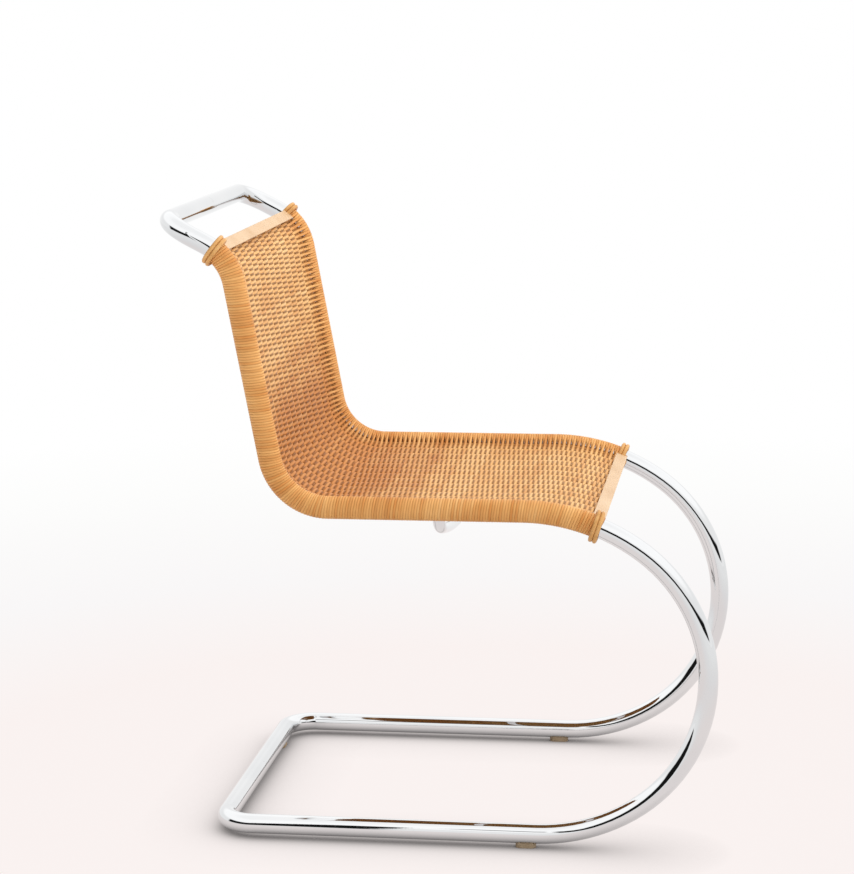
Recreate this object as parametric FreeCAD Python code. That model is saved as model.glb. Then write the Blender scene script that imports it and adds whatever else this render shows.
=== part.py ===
# A free-standing cantilever side chair: a loop of bent steel tube with seat and back woven in cane.
# Millimetres. +Z is up and the chair faces -Y. Right and left are the sitter's, so right is -X.
# The origin is on the floor, in the middle of the chair's plan.
import FreeCAD
import Part
import math
import os

# Overall sizes
overall_width = 490.0
seat_height = 445.5
base_depth = 642.0

# Steel tube
tube_diameter = 25.0
tube_wall = 2.0
corner_radius = 40.0

# Side profile, from the top rail forward and down to the runner
top_loop_run = 91.6
top_loop_rise = 27.4
top_bend_radius = 70.0
back_run = 317.0
back_recline = 10.4
seat_back_radius = 74.0
seat_run = 303.4
seat_drop_radius = 251.0
seat_drop_angle = 36.7
heel_radius = 226.0
heel_angle = 32.0

# Inner plugs and screws that join the two half frames
spigot_length = 80.0
joint_screw_diameter = 5.0
joint_screw_length = 8.0
joint_screw_offset = 20.0
joint_screw_recess = 0.3
joint_socket_width = 2.5
joint_socket_depth = 3.0

# Bowed stretcher under the seat, bolted to both rails
stretcher_diameter = 16.0
stretcher_wall = 2.0
stretcher_sag = 52.0
stretcher_under_panel = 1.05
stretcher_end_radius = 40.0
stretcher_straight = 28.0
stretcher_behind_drop = 105.4
stretcher_bolt_diameter = 6.0
stretcher_bolt_head_diameter = 9.0
stretcher_bolt_head_height = 4.0
stretcher_bolt_reach = 11.0
stretcher_plug_length = 12.0
stretcher_plug_inset = 2.5

# Floor glides
glide_height = 5.0
glide_length = 26.0
glide_width = 14.0
glide_lip = 3.0
glide_peg_diameter = 6.0
glide_peg_reach = 8.0
front_glide_from_heel = 12.6
rear_glide_from_corner = 30.0

# Cane: wound rails, woven sheet, edge rods, edge strips and end bindings
wrap_thickness = 2.0
cane_top_angle = 45.0
cane_front_angle = 23.1
panel_thickness = 4.0
panel_sag = 8.0
edge_rod_diameter = 8.0
edge_rod_inset = 1.0
edge_rod_drop = 1.0
strip_width = 16.0
strip_thickness = 2.0
binding_strand = 5.5
binding_gap = 0.5
binding_half_turns = 3
strand_sides = 8

# Clearances, and a length too short to be a stretch of its own
shortest_stretch = 1e-6
slide_clearance = 0.1
hole_clearance = 0.2
cane_clearance = 0.3

# Sizes that follow
Vector = FreeCAD.Vector
tube_radius = tube_diameter / 2
tube_bore = tube_radius - tube_wall
wrap_radius = tube_radius + wrap_thickness
rail_x = overall_width / 2 - tube_radius
seat_rail_z = seat_height - wrap_radius
runner_z = glide_height + tube_radius
recline = math.radians(back_recline)
rise = math.radians(top_loop_rise)
drop = math.radians(seat_drop_angle)
heel = math.radians(heel_angle)
top_bend_angle = 90 - back_recline - top_loop_rise
seat_back_angle = 90 - back_recline
top_bend_tangent = top_bend_radius * math.tan(math.radians(top_bend_angle) / 2)
seat_back_tangent = seat_back_radius * math.tan(math.radians(seat_back_angle) / 2)

# The front bend takes up the height that the drop and heel bends leave
drop_height = seat_drop_radius * (1 - math.cos(drop))
heel_height = heel_radius * (1 - math.cos(heel))
front_radius = (seat_rail_z - runner_z - drop_height - heel_height) / (math.cos(drop) + math.cos(heel))

# Places along Y, first from the corner between seat and back, then shifted to the middle of the plan
drop_start_from_corner = -seat_run
front_centre_from_corner = drop_start_from_corner - (seat_drop_radius - front_radius) * math.sin(drop)
front_from_corner = front_centre_from_corner - front_radius - tube_radius
top_rail_from_corner = back_run * math.sin(recline) + top_loop_run * math.cos(rise)
base_rail_from_corner = front_from_corner + base_depth - tube_radius
rear_from_corner = max(top_rail_from_corner, base_rail_from_corner) + tube_radius
seat_corner_y = -(front_from_corner + rear_from_corner) / 2
top_rail_y = seat_corner_y + top_rail_from_corner
base_rail_y = seat_corner_y + base_rail_from_corner
heel_end_y = seat_corner_y + front_centre_from_corner + (heel_radius - front_radius) * math.sin(heel)
stretcher_y = seat_corner_y + drop_start_from_corner + stretcher_behind_drop
front_glide_y = heel_end_y + front_glide_from_heel
rear_glide_x = rail_x - corner_radius - rear_glide_from_corner
top_rail_z = seat_rail_z + back_run * math.cos(recline) + top_loop_run * math.sin(rise)
loop_heading = Vector(0, -math.cos(rise), -math.sin(rise))
across = Vector(1, 0, 0)
upward = Vector(0, 0, 1)
sides = {"right": -1, "left": 1}


def turned(vector, axis, degrees):
    return FreeCAD.Rotation(axis, degrees).multVec(vector)


def ring(radius, centre, axis):
    return Part.Wire([Part.makeCircle(radius, centre, axis)])


def swept(path, section):
    return path.makePipeShell([section], True, False)


class Stretch:
    """One straight or circular stretch of a centre line. A straight has no radius."""

    def __init__(self, start, heading, length, axis=None, radius=None):
        self.start = start
        self.heading = heading
        self.length = length
        self.axis = axis
        self.radius = radius

    def point(self, distance):
        if self.radius is None:
            return self.start + self.heading * distance
        centre = self.start + self.axis.cross(self.heading) * self.radius
        return centre + turned(self.start - centre, self.axis, math.degrees(distance / self.radius))

    def direction(self, distance):
        if self.radius is None:
            return self.heading
        return turned(self.heading, self.axis, math.degrees(distance / self.radius))

    def edge(self, first, last):
        if self.radius is None:
            return Part.makeLine(self.point(first), self.point(last))
        return Part.Arc(self.point(first), self.point((first + last) / 2), self.point(last)).toShape()


class CentreLine:
    """Stretches end to end, each tangent to the one before, measured by distance from the start."""

    def __init__(self, start, heading):
        self.stretches = []
        self.end = start
        self.heading = heading
        self.length = 0

    def add(self, stretch):
        self.stretches.append((self.length, stretch))
        self.end = stretch.point(stretch.length)
        self.heading = stretch.direction(stretch.length)
        self.length += stretch.length

    def straight(self, length):
        self.add(Stretch(self.end, self.heading, length))

    def bend(self, axis, radius, degrees):
        self.add(Stretch(self.end, self.heading, radius * math.radians(degrees), axis, radius))

    def place(self, distance):
        offset, stretch = [item for item in self.stretches if item[0] <= distance][-1]
        return stretch.point(distance - offset), stretch.direction(distance - offset)

    def wire(self, first, last):
        edges = []
        for offset, stretch in self.stretches:
            low = max(first - offset, 0)
            high = min(last - offset, stretch.length)
            if high - low > shortest_stretch:
                edges.append(stretch.edge(low, high))
        return Part.Wire(edges)

    def rod(self, first, last, radius):
        return swept(self.wire(first, last), ring(radius, *self.place(first)))

    def tube(self, first, last, outer, inner):
        return self.rod(first, last, outer).cut(self.rod(first, last, inner))


def cylinder(radius, start, heading, first, last):
    return Part.makeCylinder(radius, last - first, start + heading * first, heading)


# Centre lines

def add_side_profile(line):
    """Top loop, top bend, upright, seat bend, seat rail, front bend and runner, in one plane of constant X.

    The distances where the upright starts and where the seat begins to drop are kept on the line."""
    line.straight(top_loop_run - corner_radius - top_bend_tangent)
    line.bend(across, top_bend_radius, top_bend_angle)
    line.upright_start = line.length
    line.straight(back_run - top_bend_tangent - seat_back_tangent)
    line.bend(-across, seat_back_radius, seat_back_angle)
    line.straight(seat_run - seat_back_tangent)
    line.drop_start = line.length
    line.bend(across, seat_drop_radius, seat_drop_angle)
    line.bend(across, front_radius, 180 - seat_drop_angle - heel_angle)
    line.bend(across, heel_radius, heel_angle)
    line.straight(base_rail_y - corner_radius - heel_end_y)
    line.cane_first = line.upright_start - top_bend_radius * math.radians(cane_top_angle)
    line.cane_last = line.drop_start + seat_drop_radius * math.radians(cane_front_angle)


def half_frame_line(side):
    """From the middle of the top rail, round one side of the chair, to the middle of the rear floor rail."""
    outward = across * side
    line = CentreLine(Vector(0, top_rail_y, top_rail_z), outward)
    line.straight(rail_x - corner_radius)
    line.bend(outward.cross(loop_heading), corner_radius, 90)
    add_side_profile(line)
    line.bend(line.heading.cross(-outward), corner_radius, 90)
    line.straight(rail_x - corner_radius)
    return line


frame_lines = {name: half_frame_line(side) for name, side in sides.items()}
middle_line = CentreLine(Vector(0, top_rail_y, top_rail_z) + loop_heading * corner_radius, loop_heading)
add_side_profile(middle_line)

# The stretcher leaves each rail down a straight, just steep enough to pass under the edge of the woven sheet,
# bends, and crosses in one long bow. The width and depth left over give the bow's angle and radius.
panel_edge = Vector(wrap_radius + cane_clearance, panel_thickness / 2, 0)
stretcher_room = stretcher_diameter / 2 + stretcher_under_panel
steep = math.atan2(panel_edge.y, panel_edge.x) + math.asin(stretcher_room / panel_edge.Length)
stretcher_end_angle = math.degrees(steep)
bow_width = rail_x - stretcher_straight * math.cos(steep) - stretcher_end_radius * math.sin(steep)
end_depth = stretcher_straight * math.sin(steep) + stretcher_end_radius * (1 - math.cos(steep))
bow_depth = stretcher_sag - end_depth
bow = 2 * math.atan(bow_depth / bow_width)
bow_radius = stretcher_end_radius + bow_width / math.sin(bow)


def stretcher_axis(side):
    """Rail centre at one end of the stretcher, and the direction from there down into the stretcher."""
    rail_centre = Vector(side * rail_x, stretcher_y, seat_rail_z)
    return rail_centre, Vector(-side * math.cos(steep), 0, -math.sin(steep))


stretcher_line = CentreLine(*stretcher_axis(-1))
stretcher_line.straight(stretcher_straight)
stretcher_line.bend(Vector(0, -1, 0), stretcher_end_radius, stretcher_end_angle - math.degrees(bow))
stretcher_line.bend(Vector(0, -1, 0), bow_radius, 2 * math.degrees(bow))
stretcher_line.bend(Vector(0, -1, 0), stretcher_end_radius, stretcher_end_angle - math.degrees(bow))
stretcher_line.straight(stretcher_straight)


# Steel frame

def joint_screw_places(rail_y, rail_z):
    start_z = rail_z - tube_radius + joint_screw_recess
    return [Vector(offset, rail_y, start_z) for offset in (-joint_screw_offset, joint_screw_offset)]


def joint_screw_holes(rail_y, rail_z):
    radius = (joint_screw_diameter + hole_clearance) / 2
    first = -tube_wall
    last = joint_screw_length + hole_clearance
    places = joint_screw_places(rail_y, rail_z)
    return Part.makeCompound([cylinder(radius, place, upward, first, last) for place in places])


def glide_places(side):
    """Tube centre above each glide of one side, with the direction of the tube there."""
    return {"front": (Vector(side * rail_x, front_glide_y, runner_z), Vector(0, 1, 0)),
            "rear": (Vector(side * rear_glide_x, base_rail_y, runner_z), across)}


def side_tube(name):
    line = frame_lines[name]
    side = sides[name]
    tube = line.tube(0, line.length, tube_radius, tube_bore)
    tube = tube.cut(joint_screw_holes(top_rail_y, top_rail_z))
    tube = tube.cut(joint_screw_holes(base_rail_y, runner_z))
    peg_hole_radius = (glide_peg_diameter + hole_clearance) / 2
    for centre, heading in glide_places(side).values():
        tube = tube.cut(cylinder(peg_hole_radius, centre, -upward, 0, tube_diameter))
    rail_centre, inward = stretcher_axis(side)
    bolt_hole_radius = (stretcher_bolt_diameter + hole_clearance) / 2
    bolt_hole = cylinder(bolt_hole_radius, rail_centre, inward, 0, tube_diameter)
    driver_radius = stretcher_bolt_head_diameter / 2 + hole_clearance
    driver_hole = cylinder(driver_radius, rail_centre, -inward, 0, tube_diameter)
    return tube.cut(bolt_hole).cut(driver_hole)


def joint_spigot(rail_y, rail_z):
    start = Vector(0, rail_y, rail_z)
    plug = cylinder(tube_bore - slide_clearance, start, across, -spigot_length / 2, spigot_length / 2)
    return plug.cut(joint_screw_holes(rail_y, rail_z))


def joint_screws(rail_y, rail_z):
    screws = []
    for place in joint_screw_places(rail_y, rail_z):
        screw = cylinder(joint_screw_diameter / 2, place, upward, 0, joint_screw_length)
        corner = across * (joint_socket_width / math.sqrt(3))
        hexagon = Part.Face(Part.makePolygon([place + turned(corner, upward, 60 * k) for k in range(7)]))
        screws.append(screw.cut(hexagon.extrude(upward * joint_socket_depth)))
    return Part.makeCompound(screws)


# Stretcher, its end plugs and bolts

def seat_stretcher():
    radius = stretcher_diameter / 2
    tube = stretcher_line.tube(0, stretcher_line.length, radius, radius - stretcher_wall)
    for side in sides.values():
        rail_start = Vector(side * rail_x, stretcher_y, seat_rail_z)
        reach = stretcher_diameter
        tube = tube.cut(cylinder(tube_radius + slide_clearance, rail_start, Vector(0, 1, 0), -reach, reach))
    return tube


def stretcher_plug(side):
    rail_centre, inward = stretcher_axis(side)
    first = tube_radius + stretcher_plug_inset
    last = first + stretcher_plug_length
    plug_radius = stretcher_diameter / 2 - stretcher_wall - slide_clearance
    bore_radius = stretcher_bolt_diameter / 2 + slide_clearance
    plug = cylinder(plug_radius, rail_centre, inward, first, last)
    return plug.cut(cylinder(bore_radius, rail_centre, inward, first, last))


def stretcher_bolt(side):
    rail_centre, inward = stretcher_axis(side)
    head_radius = stretcher_bolt_head_diameter / 2
    seat = math.sqrt(tube_bore ** 2 - head_radius ** 2) - slide_clearance
    head = cylinder(head_radius, rail_centre, inward, seat - stretcher_bolt_head_height, seat)
    last = tube_radius + stretcher_plug_inset + stretcher_bolt_reach
    return head.fuse(cylinder(stretcher_bolt_diameter / 2, rail_centre, inward, seat, last))


# Floor glides: a saddle pad under the tube with a peg up into it

def glide(centre, heading):
    foot = Vector(centre.x, centre.y, 0)
    sideways = heading.cross(upward)
    end_radius = glide_width / 2
    straight_half = glide_length / 2 - end_radius
    corner_a = foot + heading * straight_half + sideways * end_radius
    corner_b = foot + heading * straight_half - sideways * end_radius
    corner_c = foot - heading * straight_half - sideways * end_radius
    corner_d = foot - heading * straight_half + sideways * end_radius
    tip_front = foot + heading * (glide_length / 2)
    tip_rear = foot - heading * (glide_length / 2)
    outline = Part.Wire([Part.Arc(corner_a, tip_front, corner_b).toShape(), Part.makeLine(corner_b, corner_c),
                         Part.Arc(corner_c, tip_rear, corner_d).toShape(), Part.makeLine(corner_d, corner_a)])
    pad = Part.Face(outline).extrude(upward * (glide_height + glide_lip))
    pad = pad.cut(cylinder(tube_radius + slide_clearance, centre, heading, -glide_length, glide_length))
    peg_top = glide_height + glide_peg_reach
    peg = cylinder(glide_peg_diameter / 2, foot, upward, glide_height / 2, peg_top)
    return pad.fuse(peg).removeSplitter()


# Cane

def rail_wrap(name):
    line = frame_lines[name]
    sleeve = line.tube(line.cane_first, line.cane_last, wrap_radius, tube_radius + cane_clearance)
    rail_centre, inward = stretcher_axis(sides[name])
    notch_radius = stretcher_diameter / 2 + cane_clearance
    return sleeve.cut(cylinder(notch_radius, rail_centre, inward, 0, tube_diameter))


# A binding is one strand wound over the end of a rail wrap
binding_pitch = binding_strand + binding_gap
binding_length = binding_pitch * binding_half_turns / 2
binding_bend_room = (binding_length / 2 + binding_strand / 2) ** 2 / (2 * top_bend_radius)
binding_radius = wrap_radius + binding_bend_room + cane_clearance + binding_strand / 2


def binding_middle(line, end):
    inset = (binding_length + binding_strand) / 2
    return {"top": line.cane_first + inset, "front": line.cane_last - inset}[end]


def binding_strand_at(line, side, end, angle):
    """Point and direction of a binding's strand, by angle from the top of the tube over its outer side."""
    middle, heading = line.place(binding_middle(line, end))
    outward = across * side
    top = heading.cross(across)
    advance = binding_pitch * angle / (2 * math.pi) - binding_length / 2
    radial = top * math.cos(angle) + outward * math.sin(angle)
    around = outward * math.cos(angle) - top * math.sin(angle)
    direction = around * binding_radius + heading * (binding_pitch / (2 * math.pi))
    return middle + heading * advance + radial * binding_radius, direction.normalize()


def faceted_ring(radius, centre, axis):
    """An eight-sided section, as wide over its corners as a round strand."""
    corner = axis.cross(across).normalize() * radius
    angles = [360 / strand_sides * k for k in range(strand_sides + 1)]
    return Part.makePolygon([centre + turned(corner, axis, angle) for angle in angles])


def arc_by_tangents(start, corner, end):
    """The arc from start to end that leaves along start-corner and arrives along corner-end."""
    chord_middle = (start + end) / 2
    half_chord = (end - start).Length / 2
    half_turn = math.acos(half_chord / (corner - start).Length)
    towards_corner = (corner - chord_middle).normalize()
    crown = chord_middle + towards_corner * (half_chord * math.tan(half_turn / 2))
    return Part.Arc(start, crown, end).toShape()


def biarc(start, start_heading, end, end_heading):
    """Two arcs with equal tangents that join two points along two given directions."""
    chord = end - start
    both = start_heading + end_heading
    spread = 2 * (1 - start_heading.dot(end_heading))
    along = chord.dot(both)
    reach = (math.sqrt(along ** 2 + spread * chord.dot(chord)) - along) / spread
    start_corner = start + start_heading * reach
    end_corner = end - end_heading * reach
    join = (start_corner + end_corner) / 2
    return [arc_by_tangents(start, start_corner, join), arc_by_tangents(join, end_corner, end)]


def binding(name, end):
    """One and a half turns: in over the top from the edge strip, out underneath towards the seat."""
    line = frame_lines[name]
    side = sides[name]
    places = [binding_strand_at(line, side, end, math.pi / 2 * k) for k in range(2 * binding_half_turns + 1)]
    first, first_heading = places[0]
    last, last_heading = places[-1]
    start = first - first_heading * binding_strand
    edges = [Part.makeLine(start, first)]
    for (here, here_heading), (there, there_heading) in zip(places, places[1:]):
        edges += biarc(here, here_heading, there, there_heading)
    edges.append(Part.makeLine(last, last + last_heading * binding_strand))
    return swept(Part.Wire(edges), faceted_ring(binding_strand / 2, start, first_heading))


def binding_self_gap():
    """Least gap between neighbouring turns of one binding, measured on points of its centre line."""
    line = frame_lines["right"]
    steps_per_half_turn = 24
    steps = steps_per_half_turn * binding_half_turns
    angles = [math.pi * k / steps_per_half_turn for k in range(steps + 1)]
    points = [binding_strand_at(line, sides["right"], "front", angle)[0] for angle in angles]
    pairs = [(here, there) for k, here in enumerate(points) for there in points[k + steps_per_half_turn:]]
    return min((here - there).Length for here, there in pairs) - binding_strand


def binding_room(name, end):
    """The space round a tube that its binding takes, for cutting back what lies beside it."""
    line = frame_lines[name]
    middle = binding_middle(line, end)
    half = binding_length / 2 + binding_strand
    return line.rod(middle - half, middle + half, binding_radius + binding_strand / 2 + cane_clearance)


def hung_section(distance, low, high):
    """Outline across the chair that sags between the rails, at two heights above the tube's centre line."""
    point, heading = middle_line.place(distance)
    up = heading.cross(across)
    half_span = rail_x - wrap_radius - cane_clearance

    def corner(sideways, height):
        return point + across * sideways + up * height

    lower = Part.Arc(corner(-half_span, low), corner(0, low - panel_sag), corner(half_span, low)).toShape()
    upper = Part.Arc(corner(half_span, high), corner(0, high - panel_sag), corner(-half_span, high)).toShape()
    right_end = Part.makeLine(corner(half_span, low), corner(half_span, high))
    left_end = Part.makeLine(corner(-half_span, high), corner(-half_span, low))
    return Part.Wire([lower, right_end, upper, left_end])


def hung_sheet(first, last, low, high):
    return swept(middle_line.wire(first, last), hung_section(first, low, high))


def clear_of_bindings(shape, ends):
    for name in sides:
        for end in ends:
            shape = shape.cut(binding_room(name, end))
    return shape


cane_ends = {"top": middle_line.cane_first, "front": middle_line.cane_last}
inwards = {"top": 1, "front": -1}
end_bend_radii = {"top": top_bend_radius, "front": seat_drop_radius}
rod_centre_inset = edge_rod_inset + edge_rod_diameter / 2
strip_low = edge_rod_diameter / 2 - edge_rod_drop + cane_clearance


def panel_inset(end):
    """Distance from the cane's end to the sheet, whose lowest point clears the edge rod inside the bend."""
    bend = end_bend_radii[end]
    lowest = panel_sag + panel_thickness / 2
    return rod_centre_inset + (edge_rod_diameter / 2 + cane_clearance) * bend / (bend - lowest)


def woven_panel():
    first = cane_ends["top"] + panel_inset("top")
    last = cane_ends["front"] - panel_inset("front")
    sheet = hung_sheet(first, last, -panel_thickness / 2, panel_thickness / 2)
    return clear_of_bindings(sheet, ["top", "front"])


def edge_rod(end):
    point, heading = middle_line.place(cane_ends[end] + inwards[end] * rod_centre_inset)
    up = heading.cross(across)
    half_span = rail_x - wrap_radius - cane_clearance
    left = point + across * half_span - up * edge_rod_drop
    right = point - across * half_span - up * edge_rod_drop
    bow_line = Part.Arc(right, point - up * (edge_rod_drop + panel_sag), left)
    section = ring(edge_rod_diameter / 2, right, bow_line.tangent(bow_line.FirstParameter)[0])
    return clear_of_bindings(swept(Part.Wire([bow_line.toShape()]), section), [end])


def edge_strip(end):
    outer = cane_ends[end]
    inner = outer + inwards[end] * strip_width
    strip = hung_sheet(min(outer, inner), max(outer, inner), strip_low, strip_low + strip_thickness)
    return clear_of_bindings(strip, [end])


# Every piece under its own name
pieces = {
    "top_joint_spigot": joint_spigot(top_rail_y, top_rail_z),
    "base_joint_spigot": joint_spigot(base_rail_y, runner_z),
    "top_joint_screws": joint_screws(top_rail_y, top_rail_z),
    "base_joint_screws": joint_screws(base_rail_y, runner_z),
    "seat_stretcher": seat_stretcher(),
    "woven_panel": woven_panel(),
}
for name, side in sides.items():
    pieces[name + "_side_tube"] = side_tube(name)
    pieces[name + "_rail_wrap"] = rail_wrap(name)
    pieces[name + "_stretcher_plug"] = stretcher_plug(side)
    pieces[name + "_stretcher_bolt"] = stretcher_bolt(side)
    for end, (centre, heading) in glide_places(side).items():
        pieces[end + "_" + name + "_glide"] = glide(centre, heading)
for end in cane_ends:
    pieces[end + "_bindings"] = Part.makeCompound([binding(name, end) for name in sides])
    pieces[end + "_edge_rod"] = edge_rod(end)
    pieces[end + "_edge_strip"] = edge_strip(end)

os.makedirs("parts", exist_ok=True)
for node, shape in pieces.items():
    shape.exportStep("parts/" + node + ".step")
print("front bend radius", round(front_radius, 1))
print("least gap of a binding to itself", round(binding_self_gap(), 2))
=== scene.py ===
import math

import bpy
import numpy as np
from mathutils import Matrix, Vector


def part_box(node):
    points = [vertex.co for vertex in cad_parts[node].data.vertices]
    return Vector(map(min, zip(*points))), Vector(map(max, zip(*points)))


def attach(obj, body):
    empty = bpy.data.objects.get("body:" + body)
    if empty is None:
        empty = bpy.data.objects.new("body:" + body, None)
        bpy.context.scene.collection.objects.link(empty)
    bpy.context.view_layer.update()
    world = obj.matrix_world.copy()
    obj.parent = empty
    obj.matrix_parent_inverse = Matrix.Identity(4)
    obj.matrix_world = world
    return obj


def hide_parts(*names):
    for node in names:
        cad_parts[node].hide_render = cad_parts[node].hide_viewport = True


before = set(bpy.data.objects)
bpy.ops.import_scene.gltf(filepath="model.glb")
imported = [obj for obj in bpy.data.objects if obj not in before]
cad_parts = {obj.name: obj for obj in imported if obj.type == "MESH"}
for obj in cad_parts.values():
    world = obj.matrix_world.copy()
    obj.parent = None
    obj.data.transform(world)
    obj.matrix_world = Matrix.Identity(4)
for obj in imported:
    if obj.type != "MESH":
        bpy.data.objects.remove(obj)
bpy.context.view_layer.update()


# Steel frame
# The two half frames are one drawn steel tube each, bent cold on round formers and plugged together in the
# middle of the top rail and of the rear floor rail. Polished, then plated with nickel and bright chrome.

class Shade:
    """One output of a shader tree. Arithmetic on it adds Math nodes to the tree."""

    def __init__(self, tree, socket=None):
        self.tree = tree
        self.socket = socket

    def add(self, kind, sockets=None, output=0, stops=(), **settings):
        """Adds a node: its settings first, then the values or links of its sockets, by name or number."""
        node = self.tree.nodes.new("ShaderNode" + kind)
        for name, setting in settings.items():
            setattr(node, name, setting)
        for place, (position, colour) in enumerate(stops):
            elements = node.color_ramp.elements
            element = elements[place] if place < len(elements) else elements.new(position)
            element.position = position
            element.color = (*colour, 1)
        for name, given in (sockets or {}).items():
            if isinstance(given, Shade):
                self.tree.links.new(given.socket, node.inputs[name])
            else:
                node.inputs[name].default_value = given
        return Shade(self.tree, node.outputs[output])

    def math(self, operation, *operands):
        return self.add("Math", dict(enumerate(operands)), operation=operation)

    def __add__(self, other):
        return self.math("ADD", self, other)

    def __sub__(self, other):
        return self.math("SUBTRACT", self, other)

    def __rsub__(self, other):
        return self.math("SUBTRACT", other, self)

    def __mul__(self, other):
        return self.math("MULTIPLY", self, other)

    def ramp(self, *stops):
        """The colour at this value. The first two stops are the outer ones."""
        return self.add("ValToRGB", {0: self}, stops=stops)

    def smooth(self, low, high):
        """0 below low, 1 above high, and a soft step between."""
        sockets = {"Value": self, "From Min": low, "From Max": high}
        return self.add("MapRange", sockets, interpolation_type="SMOOTHSTEP")

    def mix(self, first, second):
        """The colour between two, by this value."""
        return self.add("Mix", {0: self, 6: first, 7: second}, output=2, data_type="RGBA")

    def noise(self, scale, detail):
        """Noise on this vector, from 0 to 1."""
        return self.add("TexNoise", {"Vector": self, "Scale": scale, "Detail": detail})

    def stretched(self, *factors):
        return self.add("VectorMath", {0: self, 1: factors}, operation="MULTIPLY")

    def bump(self, strength, distance):
        return self.add("Bump", {"Strength": strength, "Distance": distance, "Height": self})

    def attribute(self, name, output):
        return self.add("Attribute", output=output, attribute_name=name)

    def place(self):
        """Where a point of the object is, in metres."""
        return self.add("TexCoord", output="Object")

    def part(self, axis):
        """One coordinate of this vector."""
        return self.add("SeparateXYZ", {0: self}, output=axis)


def new_finish(name):
    """A new material, its surface shader, and a start for its node expressions."""
    material = bpy.data.materials.new(name)
    material.use_nodes = True
    return material, material.node_tree.nodes["Principled BSDF"], Shade(material.node_tree)


def feed(shader, name, value):
    if isinstance(value, Shade):
        value.tree.links.new(value.socket, shader.inputs[name])
    else:
        shader.inputs[name].default_value = value


def dress(node, material):
    """Gives a built piece its finish, with its round faces smooth and its edges sharp."""
    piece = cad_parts[node]
    piece.data.materials.clear()
    piece.data.materials.append(material)
    piece.data.shade_smooth()
    closed = piece.modifiers.new("closed seams", "WELD")
    closed.merge_threshold = 1e-6
    sharp = piece.modifiers.new("sharp edges", "EDGE_SPLIT")
    sharp.split_angle = math.radians(35)


def chrome_finish():
    handled_colour = (0.70, 0.71, 0.72)
    clean_colour = (0.75, 0.755, 0.76)
    least_roughness = 0.005
    handled_roughness = 0.03
    polish_roughness = 0.02
    material, shader, start = new_finish("bright_chrome")
    handled = start.place().noise(scale=9.0, detail=4.0)
    polish = start.place().noise(scale=160.0, detail=3.0)
    feed(shader, "Base Color", handled.ramp((0.3, handled_colour), (0.7, clean_colour)))
    feed(shader, "Metallic", 1.0)
    feed(shader, "Roughness", handled * handled_roughness + polish * polish_roughness + least_roughness)
    feed(shader, "Normal", polish.bump(strength=0.02, distance=0.0004))
    return material


chrome = chrome_finish()
for node in ("right_side_tube", "left_side_tube", "seat_stretcher"):
    dress(node, chrome)


# Plugs, grub screws and bolts
# Turned from plain steel and zinc plated. The plugs are inside the tubes, the grub screws sit flush under
# the two rails, and the bolts hold the bowed stretcher to the seat rails from inside.

def turned_steel_finish():
    groove_colour = (0.42, 0.43, 0.44)
    ridge_colour = (0.60, 0.61, 0.62)
    least_roughness = 0.25
    ring_roughness = 0.2
    ring_scale = (900.0, 60.0, 60.0)
    material, shader, start = new_finish("turned_steel")
    rings = start.place().stretched(*ring_scale).noise(scale=1.0, detail=2.0)
    feed(shader, "Base Color", rings.ramp((0.3, groove_colour), (0.7, ridge_colour)))
    feed(shader, "Metallic", 1.0)
    feed(shader, "Roughness", rings * ring_roughness + least_roughness)
    return material


turned_steel = turned_steel_finish()
for node in ("top_joint_spigot", "base_joint_spigot", "top_joint_screws", "base_joint_screws",
             "right_stretcher_plug", "left_stretcher_plug", "right_stretcher_bolt", "left_stretcher_bolt"):
    dress(node, turned_steel)


# Floor glides
# Saddles moulded in cloudy tan plastic, with a peg pushed into a hole under the tube. They keep the steel
# off the floor, so their undersides are scuffed.

def glide_finish():
    dark_tan = (0.62, 0.44, 0.26)
    pale_tan = (0.74, 0.57, 0.38)
    scuff_colour = (0.45, 0.34, 0.24, 1)
    scuff_height = 0.002
    least_roughness = 0.35
    cloud_roughness = 0.15
    scuff_roughness = 0.25
    material, shader, start = new_finish("tan_glide")
    cloud = start.place().noise(scale=120.0, detail=3.0)
    scuffed = 1 - start.place().part("Z").smooth(0.0, scuff_height)
    moulded = cloud.ramp((0.3, dark_tan), (0.7, pale_tan))
    feed(shader, "Base Color", (scuffed * cloud).mix(moulded, scuff_colour))
    feed(shader, "Roughness", cloud * cloud_roughness + scuffed * scuff_roughness + least_roughness)
    feed(shader, "Normal", cloud.bump(strength=0.15, distance=0.0003))
    return material


tan_glide = glide_finish()
for node in ("front_right_glide", "front_left_glide", "rear_right_glide", "rear_left_glide"):
    dress(node, tan_glide)


# Cane rows
# Round cane, shaved to an oval strand and woven plain: over one stake and under the next. A row is a strand
# that crosses the sheet, goes round one side tube from above, comes back beside itself and goes round the
# other tube.
tube_radius = 0.0125
wrap_radius = 0.0145
strand_half_thickness = (wrap_radius - tube_radius) / 2
strand_half_width = 0.0018
packed_half_width = 0.0025
wound_radius = tube_radius + strand_half_thickness
turn_pitch = 0.0033
stake_pitch = 0.032
stake_count = 14
stake_places = stake_pitch * (np.arange(stake_count) - (stake_count - 1) / 2)
points_per_stake = 6
points_per_half_turn = 21
rise_shares = np.array([[0.3], [0.65], [0.9]])
weave_height = 0.0017
middle_sag = 0.008
edge_sag = 0.0015
sag_evenness = 4
row_inset = 0.0135
# Shares of a strand's half width left free of painted shade at its edges: on the tubes, and packed in the
# sheet
wound_unshaded = 0.8
packed_unshaded = 0.55
rail_x = -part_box("right_rail_wrap")[0][0] - wrap_radius
sheet_half_width = rail_x - wrap_radius
seat_rail_height = 0.431
stretcher_behind_drop = 0.1054
back_recline = math.radians(10.4)
top_bend_radius = 0.070
top_bend_angle = math.radians(45.0)
back_length = 0.221
seat_bend_radius = 0.074
seat_bend_angle = math.pi / 2 - back_recline
seat_length = 0.2417
drop_radius = 0.251
drop_angle = math.radians(23.1)
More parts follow.
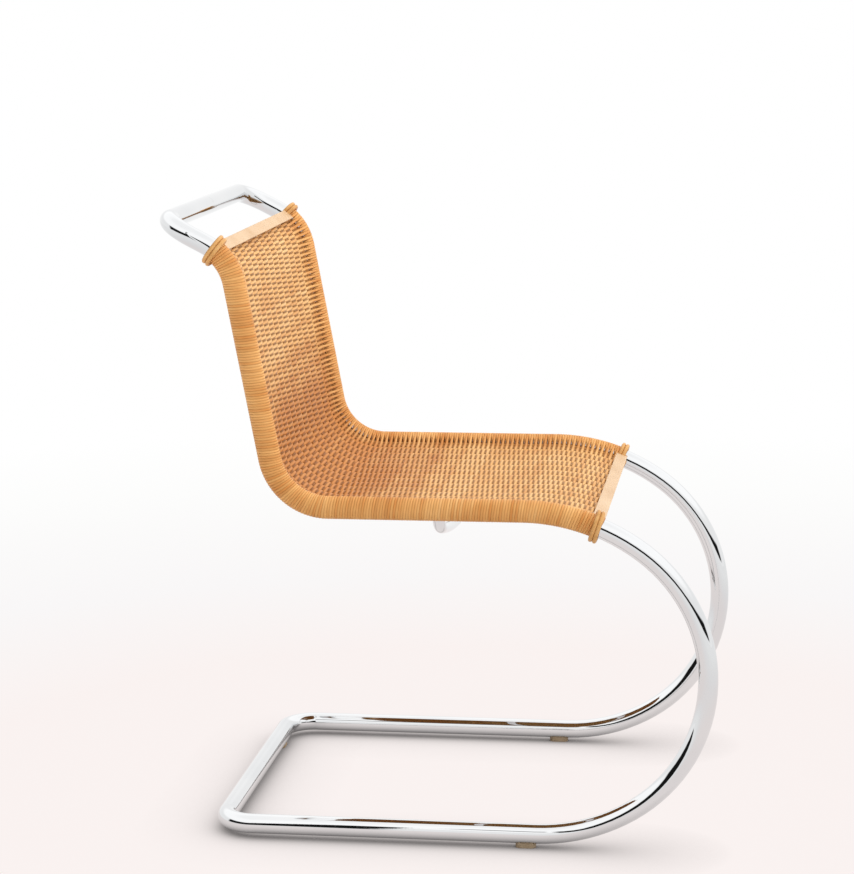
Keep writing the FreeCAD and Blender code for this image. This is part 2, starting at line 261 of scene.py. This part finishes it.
stretch_lengths = np.array([top_bend_radius * top_bend_angle, back_length, seat_bend_radius * seat_bend_angle,
                            seat_length, drop_radius * drop_angle])
stretch_curvatures = np.array([1 / top_bend_radius, 0, -1 / seat_bend_radius, 0, 1 / drop_radius])
stretch_turns = stretch_lengths * stretch_curvatures
stretch_runs = np.concatenate([[0], np.cumsum(stretch_lengths)[:-1]])
stretch_headings = (math.radians(270) - back_recline - top_bend_angle
                    + np.concatenate([[0], np.cumsum(stretch_turns)[:-1]]))
seat_bend = 2
cane_length = float(stretch_lengths.sum())
draws = np.random.default_rng(7)


def chords(lengths, curvatures, headings):
    """Vectors along arcs, seen from the side as Y and Z."""
    middles = headings + lengths * curvatures / 2
    reach = lengths * np.sinc(lengths * curvatures / 2 / math.pi)
    return np.stack([reach * np.cos(middles), reach * np.sin(middles)], axis=-1)


stretch_starts = np.cumsum(chords(stretch_lengths, stretch_curvatures, stretch_headings), axis=0)
stretch_starts = np.concatenate([[[0, 0]], stretch_starts[:-1]])
stretcher_low, stretcher_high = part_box("seat_stretcher")
stretcher_y = (stretcher_low[1] + stretcher_high[1]) / 2
drop_start = np.array([stretcher_y - stretcher_behind_drop, seat_rail_height])
stretch_starts = stretch_starts + drop_start - stretch_starts[-1]


def stretches_at(runs):
    """Which stretch of the rails each length of cane is on."""
    return np.clip(np.searchsorted(stretch_runs, runs, side="right") - 1, 0, len(stretch_runs) - 1)


def rail_places(runs):
    """Points midway between the rails, headings and upward directions, by length of cane."""
    runs = np.asarray(runs, float)
    which = stretches_at(runs)
    lengths = runs - stretch_runs[which]
    curvatures = stretch_curvatures[which]
    points = stretch_starts[which] + chords(lengths, curvatures, stretch_headings[which])
    turned = stretch_headings[which] + lengths * curvatures
    none = np.zeros_like(runs)
    points = np.stack([none, points[..., 0], points[..., 1]], axis=-1)
    headings = np.stack([none, np.cos(turned), np.sin(turned)], axis=-1)
    ups = np.stack([none, np.sin(turned), -np.cos(turned)], axis=-1)
    return points, headings, ups


def laid(runs, sideways, up, along=0.0):
    """Points by length of cane and by place across the chair. up and along are measured from the rails."""
    points, headings, ups = rail_places(runs)
    raised = ups[:, None] * np.asarray(up)[..., None]
    shifted = headings[:, None] * np.asarray(along)[..., None]
    return points[:, None] + raised + shifted + np.array([1, 0, 0]) * sideways[:, None]


def sag_at(runs):
    """How far the middle of the sheet hangs below the rails."""
    ends = (2 * runs / cane_length - 1) ** sag_evenness
    return middle_sag + (edge_sag - middle_sag) * np.clip(ends, 0, 1)


def hang_at(sideways):
    """The share of the sag across the sheet: all of it in the middle, and none at the rails."""
    return np.clip(1 - (sideways / sheet_half_width) ** 2, 0, 1)


def spread_at(runs, up):
    """How much wider a strand is pressed outside a bend of the tube, and how much narrower inside."""
    spreads = [1 + stretch_curvatures[stretches_at(runs + nearby)][:, None] * up
               for nearby in (-turn_pitch, 0, turn_pitch)]
    return np.max(spreads, axis=0)


def soft_step(values, low, high):
    share = np.clip((values - low) / (high - low), 0, 1)
    return share * share * (3 - 2 * share)


def strand_piece(name, centres, facing, half_thickness, half_width, material, closed, sides=8, flatness=1.0,
                 unshaded=wound_unshaded, lift=0.0):
    """A mesh of strands through rows of points. facing is the direction of their width. The edges of a
    strand's width, past the share that is left unshaded, get painted shade. lift says how far a point stands
    out of the sheet, from -1 to 1, and the side that turns under a crossing strand gets painted shade too."""
    longest_offset = 40
    shade_fade = 0.3
    strands, points, _ = centres.shape
    if closed:
        tangents = np.roll(centres, -1, axis=1) - np.roll(centres, 1, axis=1)
    else:
        tangents = np.gradient(centres, axis=1)
    tangents = tangents / np.linalg.norm(tangents, axis=-1, keepdims=True)
    normals = np.cross(tangents, facing)
    normals = normals / np.linalg.norm(normals, axis=-1, keepdims=True)
    widths = np.cross(normals, tangents)
    angles = 2 * math.pi * np.arange(sides) / sides
    across_section = np.sign(np.cos(angles)) * np.abs(np.cos(angles)) ** flatness
    along_section = np.sign(np.sin(angles)) * np.abs(np.sin(angles)) ** flatness
    thick = np.broadcast_to(half_thickness, (strands, points))[..., None] * across_section
    wide = np.broadcast_to(half_width, (strands, points))[..., None] * along_section
    rings = centres[:, :, None] + normals[:, :, None] * thick[..., None]
    rings = rings + widths[:, :, None] * wide[..., None]
    numbers = np.arange(strands * points * sides).reshape(strands, points, sides)
    here = numbers if closed else numbers[:, :-1]
    following = np.roll(numbers, -1, axis=1) if closed else numbers[:, 1:]
    quads = np.stack([here, np.roll(here, -1, axis=2), np.roll(following, -1, axis=2), following], axis=-1)
    faces = quads.reshape(-1, 4).tolist()
    if not closed:
        faces += numbers[:, 0, ::-1].tolist() + numbers[:, -1].tolist()
    mesh = bpy.data.meshes.new(name)
    mesh.from_pydata(rings.reshape(-1, 3).tolist(), [], faces)
    steps = np.linalg.norm(np.diff(centres, axis=1, prepend=centres[:, :1]), axis=-1)
    runs = np.cumsum(steps, axis=1) + draws.uniform(0, longest_offset, (strands, 1))
    grain = np.empty((strands, points, sides, 3))
    grain[..., 0] = np.cos(angles)
    grain[..., 1] = np.sin(angles)
    grain[..., 2] = runs[..., None]
    tones = np.broadcast_to(draws.uniform(0, 1, (strands, 1, 1)), (strands, points, sides))
    # Painted shade: the outer edges of each strand's width and the side under a crossing strand are marked
    # for darkening, standing in for the shade between strands
    past = np.abs(along_section) - np.broadcast_to(unshaded, points)[:, None]
    covered_shade = np.clip(-np.cos(angles) * np.broadcast_to(lift, points)[:, None], 0, 1)
    shaded_groove = np.broadcast_to(np.maximum(soft_step(past, 0, shade_fade), covered_shade), (strands, points, sides))
    mesh.attributes.new("grain", "FLOAT_VECTOR", "POINT").data.foreach_set("vector", grain.ravel())
    mesh.attributes.new("tone", "FLOAT", "POINT").data.foreach_set("value", tones.ravel())
    mesh.attributes.new("shaded_groove", "FLOAT", "POINT").data.foreach_set("value", shaded_groove.ravel())
    mesh.materials.append(material)
    mesh.shade_smooth()
    piece = bpy.data.objects.new(name, mesh)
    bpy.context.collection.objects.link(piece)
    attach(piece, "root")
    return piece


bend_middle = tuple(rail_places([stretch_runs[seat_bend] + stretch_lengths[seat_bend] / 2])[0][0])


def cane_finish(name, colours, patches, gloss, groove_shade_depth, patch_depth=0.8, bend_shade=0.0, wound_depth=0.0):
    """Cane: long fibres, strands of different tone, large patches, and painted shade in the grooves between
    strands. The tone is deeper in the bend between seat and back, a painted shade, and towards the side
    tubes."""
    middle_tone = 0.295
    strand_contrast = 0.16
    fibre_contrast = 0.25
    fibre_roughness = 0.25
    fibre_scale = (2.2, 2.2, 30.0)
    bend_shade_reach = (0.02, 0.20)
    sheet_edge = (0.19, 0.215)
    groove_shade_colour = (0.22, 0.075, 0.013, 1)
    deep, honey, pale = colours
    material, shader, start = new_finish(name)
    fibres = start.attribute("grain", "Vector").stretched(*fibre_scale).noise(scale=1.0, detail=3.0)
    patch = start.place().noise(scale=patches, detail=3.0)
    side_view = start.place().stretched(0, 1, 1)
    away = start.add("VectorMath", {0: side_view, 1: bend_middle}, output="Value", operation="DISTANCE")
    across = start.place().part("X")
    on_tube = across.math("ABSOLUTE", across).smooth(*sheet_edge)
    # Painted shade: the bend between seat and back is darkened, standing in for the shade of the hollow
    in_bend = (1 - away.smooth(*bend_shade_reach)) * (1 - on_tube)
    tone = start.attribute("tone", "Fac") * strand_contrast + fibres * fibre_contrast + middle_tone
    tone = tone + (patch - 0.5) * patch_depth - in_bend * bend_shade - on_tube * wound_depth
    unshaded = tone.ramp((0.22, deep), (0.80, pale), (0.50, honey))
    # Painted shade: the marked grooves are mixed towards a dark brown, standing in for the shade there
    shaded_groove = start.attribute("shaded_groove", "Fac")
    feed(shader, "Base Color", (shaded_groove * groove_shade_depth).mix(unshaded, groove_shade_colour))
    feed(shader, "Specular IOR Level", 0.25)
    feed(shader, "Roughness", fibres * fibre_roughness + gloss)
    feed(shader, "Normal", fibres.bump(strength=0.25, distance=0.0003))
    return material


def row_loop():
    """One row as it lies across the chair: sideways, up and along the rails, in metres from their middle,
    and how far it stands out of the sheet."""
    edge_x = stake_places[-1]
    crossing_x = np.linspace(-edge_x, edge_x, (stake_count - 1) * points_per_stake + 1)
    wave = np.sin(math.pi * crossing_x / stake_pitch)
    beside = np.full_like(wave, -turn_pitch / 2)
    crossing = np.stack([crossing_x, weave_height * wave, beside, -wave], axis=1)
    inset = rail_x - edge_x
    lead = math.atan2(inset, weave_height) - math.acos(wound_radius / math.hypot(inset, weave_height))
    turn = np.linspace(-lead, math.pi + lead, points_per_half_turn)
    around = np.stack([rail_x + wound_radius * np.sin(turn), wound_radius * np.cos(turn),
                       -turn_pitch / 2 * np.cos(turn), np.zeros_like(turn)], axis=1)
    rise = crossing[-1] + (around[0] - crossing[-1]) * rise_shares
    to_underside = (1, -1, -1, 1)
    to_other_side = (-1, 1, -1, -1)
    half = np.concatenate([crossing, rise, around, rise[::-1] * to_underside])
    return np.concatenate([half, half * to_other_side])


first_turn = 1.5 * turn_pitch
turn_runs = np.arange(first_turn, cane_length - turn_pitch, turn_pitch)
in_sheet = (turn_runs > row_inset) & (turn_runs < cane_length - row_inset)
is_row = in_sheet & (np.arange(len(turn_runs)) % 2 == 1)
row_runs = turn_runs[is_row]
on_back = row_runs < cane_length / 2
woven_colours = ((0.64, 0.255, 0.06), (0.88, 0.49, 0.175), (0.96, 0.65, 0.31))
# The woven cane gets painted shade in its grooves and in the bend between seat and back
woven_cane = cane_finish("woven_cane", woven_colours, patches=14.0, gloss=0.38, groove_shade_depth=0.72, patch_depth=0.45,
                         bend_shade=0.35, wound_depth=0.15)
sideways, loop_up, along, lift = row_loop().T
row_on_tube = np.abs(sideways) > stake_places[-1]
row_half_width = np.where(row_on_tube, strand_half_width, packed_half_width)
row_unshaded = np.where(row_on_tube, wound_unshaded, packed_unshaded)
for name, runs in (("back_rows", row_runs[on_back]), ("seat_rows", row_runs[~on_back])):
    up = loop_up - sag_at(runs)[:, None] * hang_at(sideways)
    half_widths = row_half_width * spread_at(runs, up)
    facing = rail_places(runs)[1][:, None]
    rows = strand_piece(name, laid(runs, sideways, up, along), facing, strand_half_thickness, half_widths,
                        woven_cane, closed=True, unshaded=row_unshaded, lift=lift)
    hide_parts("woven_panel")


# Stakes
# Flat oval canes run from the top of the back to the front of the seat. The rows go over and under fourteen
# of them, and a rounder one fills the gap along each side tube. Their ends turn round the edge rods.
stake_half_width = 0.0105
stake_half_thickness = 0.0011
edge_stake_half_width = 0.0055
edge_stake_half_thickness = 0.0035
edge_stake_place = 0.2135
stake_inset = 0.009
stake_points = 170
# Painted shade over each stake's whole width, standing in for the shade where the stakes lie under the rows
stake_unshaded = -0.3
stake_runs = np.linspace(stake_inset, cane_length - stake_inset, stake_points)
sideways = np.concatenate([[-edge_stake_place], stake_places, [edge_stake_place]])
centres = laid(stake_runs, sideways, -sag_at(stake_runs)[:, None] * hang_at(sideways)).swapaxes(0, 1)
half_widths = np.full((len(sideways), 1), stake_half_width)
half_widths[[0, -1]] = edge_stake_half_width
half_thicknesses = np.full((len(sideways), 1), stake_half_thickness)
half_thicknesses[[0, -1]] = edge_stake_half_thickness
stakes = strand_piece("stakes", centres, np.array([1.0, 0, 0]), half_thicknesses, half_widths, woven_cane,
                      closed=False, unshaded=stake_unshaded)
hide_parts("woven_panel")


# Rail windings
# Between two rows the same cane takes one more turn round each side tube, so the tubes are covered from the
# top bend to the front of the seat. At both ends only turns are left.
wound_colours = ((0.54, 0.22, 0.055), (0.74, 0.37, 0.115), (0.88, 0.54, 0.225))
# The grooves between turns get painted shade
wound_cane = cane_finish("wound_cane", wound_colours, patches=14.0, gloss=0.38, groove_shade_depth=0.5)
points_per_turn = 36
turn_angles = np.linspace(0, 2 * math.pi, points_per_turn, endpoint=False)
ring_runs = turn_runs[~is_row]
up = wound_radius * np.cos(turn_angles)
half_widths = strand_half_width * spread_at(ring_runs, up)
facing = rail_places(ring_runs)[1][:, None]
for side, outwards in (("right", -1), ("left", 1)):
    sideways = outwards * (rail_x + wound_radius * np.sin(turn_angles))
    along = -outwards * turn_pitch / 2 * np.cos(turn_angles)
    windings = strand_piece(side + "_rail_windings", laid(ring_runs, sideways, up, along), facing,
                            strand_half_thickness, half_widths, wound_cane, closed=True)
    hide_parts(side + "_rail_wrap")


# Edge rods
# A round cane rod lies across each end of the sheet, from one side tube to the other. The stakes turn round
# it, and it keeps the edge straight under their pull.
rod_colours = ((0.55, 0.28, 0.10), (0.70, 0.41, 0.18), (0.82, 0.55, 0.28))
cane_rod = cane_finish("cane_rod", rod_colours, patches=40.0, gloss=0.32, groove_shade_depth=0.0)
rod_radius = 0.004
rod_inset = 0.010
rod_drop = 0.001
edge_points = 41
sideways = np.linspace(-sheet_half_width, sheet_half_width, edge_points)
up = -rod_drop - edge_sag * hang_at(sideways)
for end, run in (("top", rod_inset), ("front", cane_length - rod_inset)):
    facing = rail_places([run])[1]
    rod = strand_piece(end + "_rod", laid([run], sideways, up), facing, rod_radius, rod_radius, cane_rod,
                       closed=False, sides=12)
    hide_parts(end + "_edge_rod")


# Edge strips
# Cane skin peeled off flat and scraped smooth. A strip covers each edge of the sheet, and its ends are
# tucked under the turns on the side tubes.
strip_colours = ((0.60, 0.38, 0.20), (0.69, 0.47, 0.28), (0.75, 0.54, 0.34))
peeled_strip = cane_finish("peeled_strip", strip_colours, patches=18.0, gloss=0.32, groove_shade_depth=0.0)
strip_half_width = 0.008
strip_half_thickness = 0.0010
strip_lift = 0.0065
strip_tuck = 0.003
strip_reach = rail_x - math.sqrt(wrap_radius ** 2 - strip_lift ** 2) + strip_tuck
sideways = np.linspace(-strip_reach, strip_reach, edge_points)
for end, run in (("top", strip_half_width), ("front", cane_length - strip_half_width)):
    facing = rail_places([run])[1]
    strip = strand_piece(end + "_strip", laid([run], sideways, strip_lift), facing, strip_half_thickness,
                         strip_half_width, peeled_strip, closed=False, sides=24, flatness=0.45)
    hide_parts(end + "_edge_strip")


# End bindings
# A thicker cane strand is wound twice over each end of a rail winding, and its ends are tucked in at the
# sheet. It stands proud like a collar and stops the turns from creeping along the tube.
binding_colours = ((0.50, 0.22, 0.06), (0.68, 0.36, 0.12), (0.80, 0.48, 0.20))
# The groove between the two turns gets painted shade
binding_cane = cane_finish("binding_cane", binding_colours, patches=60.0, gloss=0.30, groove_shade_depth=0.5)
binding_half_strand = 0.00275
binding_pitch = 0.0053
binding_turns = 2
binding_points = 97
binding_tuck = 0.004
tuck_suddenness = 24
binding_radius = 0.017925
binding_middle = 0.0065
wound = np.linspace(0, binding_turns, binding_points)
wound_angles = 2 * math.pi * wound - math.pi / 2
radii = binding_radius - binding_tuck * np.abs(2 * wound / binding_turns - 1) ** tuck_suddenness
outside = rail_x + radii * np.sin(wound_angles)
up = radii * np.cos(wound_angles)
along = binding_pitch * (wound - binding_turns / 2)
for end, run in (("top", binding_middle), ("front", cane_length - binding_middle)):
    centres = np.concatenate([laid([run], sideways, up, along) for sideways in (-outside, outside)])
    facing = rail_places([run])[1]
    bindings = strand_piece(end + "_collars", centres, facing, binding_half_strand, binding_half_strand,
                            binding_cane, closed=False, sides=12)
    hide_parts(end + "_bindings")


# Floor, light and camera
# A pale floor that fades to white away from the chair and doesn't light what shows in a reflection, a wide
# soft light above, and white all round. What shines sees the dark side of the studio low down on the
# sitter's right.

def grey(level):
    return (level, level, level, 1)


def floor_finish():
    fade_reach = 3.0
    under_chair = (0.955, 0.890, 0.875)
    near_chair = (0.947, 0.930, 0.932)
    beyond_chair = (0.982, 0.982, 0.976)
    far_away = (1, 1, 1)
    shadow_reach = 0.11
    shadow_depth = 1.1
    bounce_start = (0.45, 0.9)
    bounce_gain = 1.5
    bounce_cut = 0.95
    material, _, start = new_finish("pale_floor")
    away = start.add("VectorMath", {0: start.place()}, output="Value", operation="LENGTH")
    pale = (away * (1 / fade_reach)).ramp((0.25, under_chair), (0.93, far_away), (0.42, near_chair),
                                          (0.72, beyond_chair))
    contact = start.add("AmbientOcclusion", {"Distance": shadow_reach}, output="AO", samples=16)
    shaded = ((1 - contact) * shadow_depth).mix(pale, grey(0))
    bounced = start.add("LightPath", output="Is Diffuse Ray")
    mirrored = start.add("LightPath", output="Glossy Depth")
    direct = 1 - mirrored.math("MINIMUM", mirrored, 1)
    strength = 1 - bounced * (bounce_cut - away.smooth(*bounce_start) * direct * bounce_gain)
    glow = start.add("VectorMath", {0: shaded, "Scale": strength}, operation="SCALE")
    lit = start.add("Emission", {"Color": glow})
    start.tree.links.new(lit.socket, start.tree.nodes["Material Output"].inputs["Surface"])
    return material


floor_half = 14.0
floor_corners = [(-floor_half, -floor_half, 0), (floor_half, -floor_half, 0),
                 (floor_half, floor_half, 0), (-floor_half, floor_half, 0)]
floor_mesh = bpy.data.meshes.new("floor")
floor_mesh.from_pydata(floor_corners, [], [(0, 1, 2, 3)])
floor_mesh.materials.append(floor_finish())
floor = bpy.data.objects.new("floor", floor_mesh)
bpy.context.collection.objects.link(floor)

dark_bottom = (0.0, 0.03)
dark_top = (0.34, 0.39)
dark_side = (0.10, 0.25)
front_reach = (0.0, 0.7)
front_drop = 0.20
stand_start = (0.195, 0.215)
stand_end = (0.26, 0.30)
stand_rise = 0.20
door_start = (0.08, 0.10)
door_end = (0.185, 0.205)
lintel_bottom = (0.54, 0.58)
lintel_top = (0.64, 0.68)
lintel_depth = 0.75
dark_light = 0.01
wall_light = 1.06
upper_wall = (0.3, 0.5)
upper_light = 1.30
ceiling = (0.75, 0.95)
ceiling_light = 1.2
side_shade = 0.2
side_reach = (0.2, 1.0)
back_shade = 0.7
back_reach = (-0.2, 0.8)
ground_light = 0.55
sky_light = 1.25
sky_reach = (-0.1, 1.0)
least_rightwards = 0.001
world = bpy.data.worlds.new("studio")
bpy.context.scene.world = world
world.use_nodes = True
start = Shade(world.node_tree)
direction = start.add("TexCoord", output="Generated")
height = direction.part("Z")
lengthways = direction.part("Y")
rightwards = 0 - direction.part("X")
turned = lengthways.math("DIVIDE", lengthways, rightwards.math("MAXIMUM", rightwards, least_rightwards))
stand = turned.smooth(*stand_start) * (1 - turned.smooth(*stand_end))
above = height - stand * stand_rise + (0 - turned).smooth(*front_reach) * front_drop
wide = height.smooth(*dark_bottom) * (1 - above.smooth(*dark_top)) * rightwards.smooth(*dark_side)
lintel = height.smooth(*lintel_bottom) * (1 - height.smooth(*lintel_top)) * lintel_depth
door = turned.smooth(*door_start) * (1 - turned.smooth(*door_end))
dark = wide * (1 - door) + lintel * door
bright = height.smooth(*upper_wall).mix(grey(wall_light), grey(upper_light))
bright = height.smooth(*ceiling).mix(bright, grey(ceiling_light))
shining = dark.mix(bright, grey(dark_light))
left_by_side = 1 - rightwards.smooth(*side_reach) * side_shade
left_by_back = 1 - lengthways.smooth(*back_reach) * back_shade
soft = height.smooth(*sky_reach).mix(grey(ground_light), grey(sky_light))
soft = (1 - left_by_side * left_by_back).mix(soft, grey(0))
glossy = start.add("LightPath", output="Is Glossy Ray")
clear = start.add("LightPath", output="Is Transmission Ray")
seen = start.add("LightPath", output="Is Camera Ray")
around = glossy.mix(soft, shining)
around = seen.math("MAXIMUM", seen, clear).mix(around, grey(1))
feed(world.node_tree.nodes["Background"], "Color", around)

overhead = bpy.data.lights.new("overhead", "AREA")
overhead.shape = "SQUARE"
overhead.size = 2.6
overhead.energy = 32
overhead_lamp = bpy.data.objects.new("overhead", overhead)
overhead_lamp.location = (0.1, -1.0, 2.5)
lit_place = Vector((0, 0, 0.3))
overhead_lamp.rotation_euler = (lit_place - overhead_lamp.location).to_track_quat("-Z", "Y").to_euler()
overhead_lamp.visible_glossy = False
bpy.context.collection.objects.link(overhead_lamp)

lens = bpy.data.cameras.new("camera")
lens.lens = 107.66
lens.sensor_width = 36
lens.clip_end = 60
camera = bpy.data.objects.new("camera", lens)
camera_place = Vector((-3.366, -0.4341, 1.0844))
camera_yaw = math.radians(8.084)
camera_pitch = math.radians(-10.08)
camera_roll = math.radians(-0.527)
forwards = Vector((math.cos(camera_yaw), math.sin(camera_yaw), 0))
level = Vector((math.sin(camera_yaw), -math.cos(camera_yaw), 0))
ahead = forwards * math.cos(camera_pitch) + Vector((0, 0, math.sin(camera_pitch)))
top = level.cross(ahead)
camera_right = level * math.cos(camera_roll) + top * math.sin(camera_roll)
camera_up = top * math.cos(camera_roll) - level * math.sin(camera_roll)
camera_turn = Matrix((camera_right, camera_up, -ahead)).transposed().to_4x4()
camera.matrix_world = Matrix.Translation(camera_place) @ camera_turn
bpy.context.collection.objects.link(camera)
bpy.context.scene.camera = camera
bpy.context.scene.view_settings.view_transform = "Standard"
